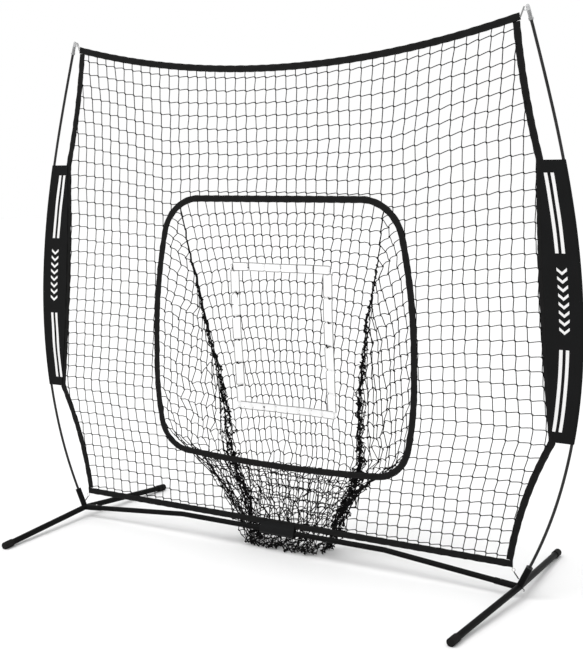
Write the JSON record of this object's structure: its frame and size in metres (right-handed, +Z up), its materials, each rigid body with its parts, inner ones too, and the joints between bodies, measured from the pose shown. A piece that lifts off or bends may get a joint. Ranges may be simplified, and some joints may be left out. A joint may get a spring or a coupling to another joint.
{
  "type": "pitching target net",
  "caption": "Free-standing bowed-pole ball net with a rounded mouth, a hanging net pocket, a white strap strike zone and a bent-tube steel base.",
  "frame": {"origin": "on the floor, midway between the two feet, under the middle of the net", "axes": "+X along the net to the right as a pitcher sees it, +Y back towards the pocket, +Z up"},
  "size_m": [2.5238, 1.1018, 2.1347],
  "materials": {
    "black_powder_coat": "satin black powder coat on steel tube",
    "black_rubber": "matte moulded rubber",
    "black_plastic": "matte moulded plastic",
    "bright_steel": "bright plated steel",
    "spring_steel": "bare spring steel strip",
    "black_fibreglass": "smooth pultruded fibreglass rod",
    "dark_ferrule_steel": "drawn steel tube",
    "clear_plastic": "translucent moulded plastic",
    "grey_cord": "braided polyester cord",
    "black_elastic": "braided elastic cord",
    "black_netting": "knotted square-mesh twine",
    "black_webbing": "folded polyester webbing, stitched",
    "white_webbing": "white polyester webbing",
    "black_oxford_fabric": "woven polyester with printed white stripes",
    "black_hook_and_loop": "nylon with hook-and-loop facing"
  },
  "bodies": {
    "frame": {"bar_stub_left": "black_powder_coat", "bar_stub_right": "black_powder_coat", "base_bar_left": "black_powder_coat", "base_bar_right": "black_powder_coat", "border_bottom": "black_webbing", "border_left": "black_webbing", "border_right": "black_webbing", "border_top": "black_webbing", "button_clip_left": "spring_steel", "button_clip_right": "spring_steel", "corner_loop_left": "grey_cord", "corner_loop_right": "grey_cord", "foot_cap_front_left": "black_rubber", "foot_cap_front_right": "black_rubber", "foot_cap_rear_left": "black_rubber", "foot_cap_rear_right": "black_rubber", "foot_tube_left": "black_powder_coat", "foot_tube_right": "black_powder_coat", "mouth_ring": "black_webbing", "net_lower": "black_netting", "net_side_left": "black_netting", "net_side_right": "black_netting", "net_upper": "black_netting", "pole_cap_left": "clear_plastic", "pole_cap_right": "clear_plastic", "pole_ferrules_left": "dark_ferrule_steel", "pole_ferrules_right": "dark_ferrule_steel", "pole_lower_left": "black_fibreglass", "pole_lower_right": "black_fibreglass", "pole_middle_left": "black_fibreglass", "pole_middle_right": "black_fibreglass", "pole_socket_left": "black_powder_coat", "pole_socket_right": "black_powder_coat", "pole_upper_left": "black_fibreglass", "pole_upper_right": "black_fibreglass", "sleeve_left": "black_oxford_fabric", "sleeve_right": "black_oxford_fabric", "socket_bush_left": "black_plastic", "socket_bush_right": "black_plastic", "tie_cord_left": "black_elastic", "tie_cord_right": "black_elastic", "tie_hook_left": "black_powder_coat", "tie_hook_right": "black_powder_coat", "tie_ring_left": "bright_steel", "tie_ring_right": "bright_steel", "wrap_body": "black_hook_and_loop"},
    "pocket": {"pocket_back": "black_netting", "pocket_floor": "black_netting", "pocket_front": "black_netting", "pocket_side_left": "black_netting", "pocket_side_right": "black_netting", "strike_strap_bottom": "white_webbing", "strike_strap_left": "white_webbing", "strike_strap_right": "white_webbing", "strike_strap_top": "white_webbing"},
    "snap_button_left": {"snap_button_left": "bright_steel"},
    "snap_button_right": {"snap_button_right": "bright_steel"},
    "wrap_flap": {"wrap_flap": "black_hook_and_loop"}
  },
  "joints": [
    {"name": "snap_button_left_press", "type": "slide", "parent": "frame", "child": "snap_button_left", "axis": [0.0888, 0, -0.996], "range_m": [0, 0.004], "stiffness_N_per_m": 800, "springref_m": -0.001, "deforming": ["button_clip_left"]},
    {"name": "snap_button_right_press", "type": "slide", "parent": "frame", "child": "snap_button_right", "axis": [-0.0888, 0, -0.996], "range_m": [0, 0.004], "stiffness_N_per_m": 800, "springref_m": -0.001, "deforming": ["button_clip_right"]},
    {"name": "pocket_swing", "type": "hinge", "parent": "frame", "child": "pocket", "pos_m": [0, 0.005, 1.457], "axis": [1, 0, 0], "range_deg": [0, 8]},
    {"name": "wrap_flap_open", "type": "hinge", "parent": "frame", "child": "wrap_flap", "pos_m": [0, -0.0135, 0.076], "axis": [1, 0, 0], "range_deg": [0, 100]}
  ]
}
